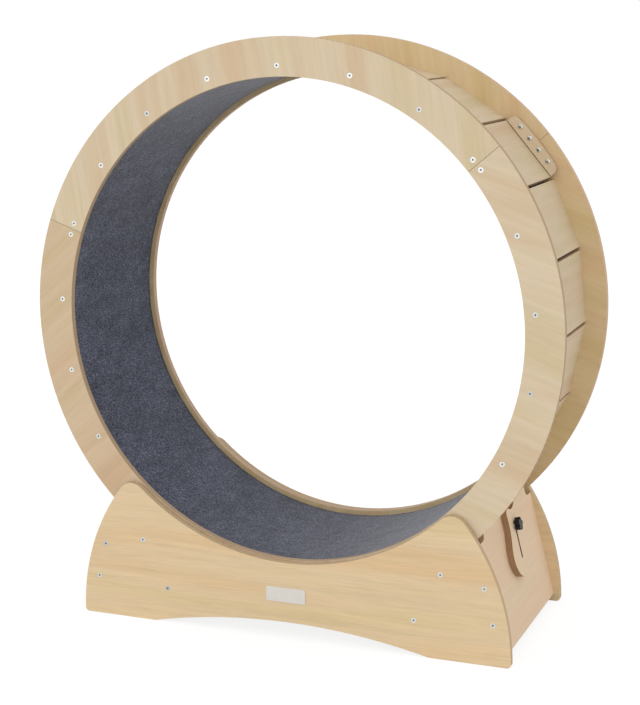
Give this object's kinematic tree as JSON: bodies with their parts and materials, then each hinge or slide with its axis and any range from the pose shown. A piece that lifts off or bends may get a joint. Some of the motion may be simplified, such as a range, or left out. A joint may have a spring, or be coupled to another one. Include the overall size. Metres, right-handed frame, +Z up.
{
  "type": "cat exercise wheel",
  "caption": "Large open running wheel of plywood rings and cross boards with a felt lining, carried on rollers in a low arched wooden stand with a sliding brake plate.",
  "frame": {"origin": "on the floor, straight below the wheel's centre, midway between the side panels", "axes": "+X to the brake's end, +Y from the nameplate's side panel to the back one along the wheel's axle line, +Z up"},
  "size_m": [0.9999, 0.3715, 1.077],
  "materials": {
    "stand_plywood": "sanded birch plywood, clear matt lacquer",
    "ring_plywood": "sanded birch plywood, clear matt lacquer",
    "slat_plywood": "sanded birch plywood, clear matt lacquer",
    "brake_plywood": "sanded birch plywood, clear matt lacquer",
    "rail_wood": "planed softwood",
    "carpet": "speckled grey needle felt",
    "screw_steel": "zinc plated",
    "shaft_steel": "ground, zinc plated",
    "collar_plastic": "moulded",
    "roller_rubber": "moulded, smooth tread",
    "nameplate": "plain, satin",
    "knob_plastic": "moulded, satin"
  },
  "bodies": {
    "stand": {"front_side_panel": "stand_plywood", "back_side_panel": "stand_plywood", "left_end_panel": "stand_plywood", "right_end_panel": "stand_plywood", "left_cross_rail": "rail_wood", "right_cross_rail": "rail_wood", "nameplate": "nameplate", "front_panel_screws": "screw_steel", "back_panel_screws": "screw_steel", "left_roller_shaft": "shaft_steel", "right_roller_shaft": "shaft_steel", "roller_collars": "collar_plastic", "brake_stud": "shaft_steel", "brake_washers": "screw_steel"},
    "wheel": {"front_ring_segment_1": "ring_plywood", "front_ring_segment_2": "ring_plywood", "front_ring_segment_3": "ring_plywood", "back_ring_segment_1": "ring_plywood", "back_ring_segment_2": "ring_plywood", "back_ring_segment_3": "ring_plywood", "slat_01": "slat_plywood", "slat_02": "slat_plywood", "slat_03": "slat_plywood", "slat_04": "slat_plywood", "slat_05": "slat_plywood", "slat_06": "slat_plywood", "slat_07": "slat_plywood", "slat_08": "slat_plywood", "slat_09": "slat_plywood", "slat_10": "slat_plywood", "slat_11": "slat_plywood", "slat_12": "slat_plywood", "slat_13": "slat_plywood", "slat_14": "slat_plywood", "slat_15": "slat_plywood", "slat_16": "slat_plywood", "slat_17": "slat_plywood", "slat_18": "slat_plywood", "slat_19": "slat_plywood", "slat_20": "slat_plywood", "slat_21": "slat_plywood", "running_carpet": "carpet", "front_joiner_plate_1": "ring_plywood", "front_joiner_plate_2": "ring_plywood", "front_joiner_plate_3": "ring_plywood", "back_joiner_plate_1": "ring_plywood", "back_joiner_plate_2": "ring_plywood", "back_joiner_plate_3": "ring_plywood", "joiner_screws": "screw_steel", "front_ring_screws": "screw_steel", "back_ring_screws": "screw_steel"},
    "brake_plate": {"brake_plate": "brake_plywood"},
    "brake_knob": {"brake_knob": "knob_plastic"},
    "front_left_roller": {"front_left_roller": "roller_rubber"},
    "front_right_roller": {"front_right_roller": "roller_rubber"},
    "back_left_roller": {"back_left_roller": "roller_rubber"},
    "back_right_roller": {"back_right_roller": "roller_rubber"}
  },
  "joints": [
    {"name": "wheel_spin", "type": "hinge", "parent": "stand", "child": "wheel", "pos_m": [0, 0, 0.577], "axis": [0, 1, 0], "continuous": true},
    {"name": "front_left_roller_spin", "type": "hinge", "parent": "stand", "child": "front_left_roller", "pos_m": [-0.29074, -0.164, 0.15555], "axis": [0, 1, 0], "continuous": true},
    {"name": "front_right_roller_spin", "type": "hinge", "parent": "stand", "child": "front_right_roller", "pos_m": [0.29074, -0.164, 0.15555], "axis": [0, 1, 0], "continuous": true},
    {"name": "back_left_roller_spin", "type": "hinge", "parent": "stand", "child": "back_left_roller", "pos_m": [-0.29074, 0.164, 0.15555], "axis": [0, 1, 0], "continuous": true},
    {"name": "back_right_roller_spin", "type": "hinge", "parent": "stand", "child": "back_right_roller", "pos_m": [0.29074, 0.164, 0.15555], "axis": [0, 1, 0], "continuous": true},
    {"name": "brake_slide", "type": "slide", "parent": "stand", "child": "brake_plate", "axis": [-0.2419, 0, 0.9703], "range_m": [0, 0.037]},
    {"name": "knob_turn", "type": "hinge", "parent": "stand", "child": "brake_knob", "pos_m": [0.37589, 0, 0.20201], "axis": [0.9703, 0, 0.2419], "range_deg": [0, 540]}
  ],
  "couplings": [
    {"joint": "front_left_roller_spin", "follows": "wheel_spin", "ratio": -42.735},
    {"joint": "front_right_roller_spin", "follows": "wheel_spin", "ratio": -42.735},
    {"joint": "back_left_roller_spin", "follows": "wheel_spin", "ratio": -42.735},
    {"joint": "back_right_roller_spin", "follows": "wheel_spin", "ratio": -42.735}
  ]
}
